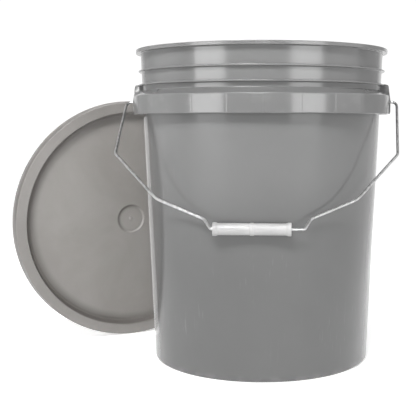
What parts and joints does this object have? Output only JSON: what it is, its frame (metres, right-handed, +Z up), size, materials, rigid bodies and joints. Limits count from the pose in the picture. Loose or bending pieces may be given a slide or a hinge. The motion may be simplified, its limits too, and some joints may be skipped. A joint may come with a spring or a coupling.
{
  "type": "plastic fermenting bucket",
  "caption": "Tapered plastic fermenting pail with a ribbed neck, stiffening band, wire bail with a plastic grip, and a gasketed press-fit lid leaning behind it.",
  "frame": {"origin": "centre of the bucket's underside, on the surface it stands on", "axes": "+Z up the bucket's axis, X through the two ears of the bail, -Y towards the side where the bail hangs"},
  "size_m": [0.4827, 0.3286, 0.3725],
  "materials": {
    "pail_plastic": "moulded polyethylene, semi-gloss, light grey, with fine scuffs",
    "galvanised_wire": "drawn and galvanised",
    "grip_plastic": "white, smooth",
    "lid_plastic": "warm grey, satin",
    "gasket_rubber": "matt"
  },
  "bodies": {
    "bucket": {"bucket": "pail_plastic"},
    "bail": {"bail": "galvanised_wire"},
    "grip": {"grip": "grip_plastic"},
    "lid": {"lid": "lid_plastic", "lid_gasket": "gasket_rubber"}
  },
  "joints": [
    {"name": "bail_hinge", "type": "hinge", "parent": "bucket", "child": "bail", "pos_m": [0, 0, 0.3117], "axis": [-1, 0, 0], "range_deg": [0, 215]},
    {"name": "grip_spin", "type": "hinge", "parent": "bail", "child": "grip", "pos_m": [-0.005, -0.14603, 0.17329], "axis": [1, 0, 0], "continuous": true},
    {"name": "lid_lift", "type": "slide", "parent": "bucket", "child": "lid", "axis": [-0.2575, 0.4286, 0.866], "range_m": [0, 0.42]}
  ]
}
